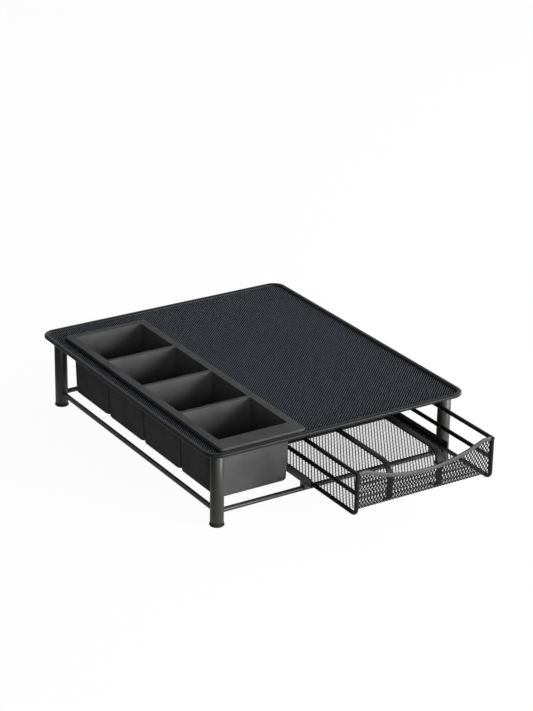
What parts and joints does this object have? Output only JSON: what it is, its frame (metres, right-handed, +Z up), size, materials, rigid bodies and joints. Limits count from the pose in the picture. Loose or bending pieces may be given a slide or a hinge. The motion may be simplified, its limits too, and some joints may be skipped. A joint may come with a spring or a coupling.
{
  "type": "coffee pod drawer",
  "caption": "Mesh-topped wire stand for a coffee machine, with a sliding wire basket for pods between divider rails and a lift-out tray of deep pockets set into the plate.",
  "frame": {"origin": "on the ground, in the middle of the outline of the stand and its open drawer, seen from above", "axes": "+Z up, +Y from the drawer's front towards the back of the stand, +X to the right as seen from the front"},
  "size_m": [0.305, 0.442, 0.085],
  "materials": {
    "plate_mesh": "black powder coat, satin",
    "rim": "black powder coat, satin",
    "leg_tube": "black powder coat, satin",
    "foot_cap": "black moulded cap",
    "frame_rod": "black powder coat, satin",
    "runner": "black powder coat, satin",
    "tray": "black moulded plastic, fine texture",
    "basket_wire": "black powder coat, satin",
    "basket_band": "black powder coat, satin",
    "basket_mesh": "black powder coat, satin",
    "divider": "black powder coat, satin"
  },
  "bodies": {
    "stand": {"top_mesh": "plate_mesh", "top_rim": "rim", "cutout_hem": "rim", "leg_front_left": "leg_tube", "leg_front_right": "leg_tube", "leg_rear_left": "leg_tube", "leg_rear_right": "leg_tube", "foot_front_left": "foot_cap", "foot_front_right": "foot_cap", "foot_rear_left": "foot_cap", "foot_rear_right": "foot_cap", "low_rod_front": "frame_rod", "low_rod_rear": "frame_rod", "low_rod_left": "frame_rod", "low_rod_right": "frame_rod", "top_rod_front": "frame_rod", "top_rod_rear": "frame_rod", "top_rod_left": "frame_rod", "top_rod_right": "frame_rod", "bay_bar": "frame_rod", "cross_bar": "frame_rod", "runner_left": "runner", "runner_right": "runner", "runner_saddles": "runner"},
    "drawer": {"hoop_left": "basket_wire", "hoop_right": "basket_wire", "top_wire_left": "basket_wire", "top_wire_right": "basket_wire", "mid_wire_left": "basket_wire", "mid_wire_right": "basket_wire", "front_band": "basket_band", "rear_band": "basket_band", "front_mesh": "basket_mesh", "floor_mesh": "basket_mesh", "rear_mesh": "basket_mesh", "cross_wire_mid": "basket_wire", "cross_wire_rear": "basket_wire", "rail_left": "divider", "rail_right": "divider", "rail_tie_front": "divider", "rail_tie_rear": "divider"},
    "tray": {"tray": "tray"}
  },
  "joints": [
    {"name": "drawer_slide", "type": "slide", "parent": "stand", "child": "drawer", "axis": [0, -1, 0], "range_m": [-0.077, 0.145]},
    {"name": "tray_lift", "type": "slide", "parent": "stand", "child": "tray", "axis": [0, 0, 1], "range_m": [0, 0.075]}
  ]
}
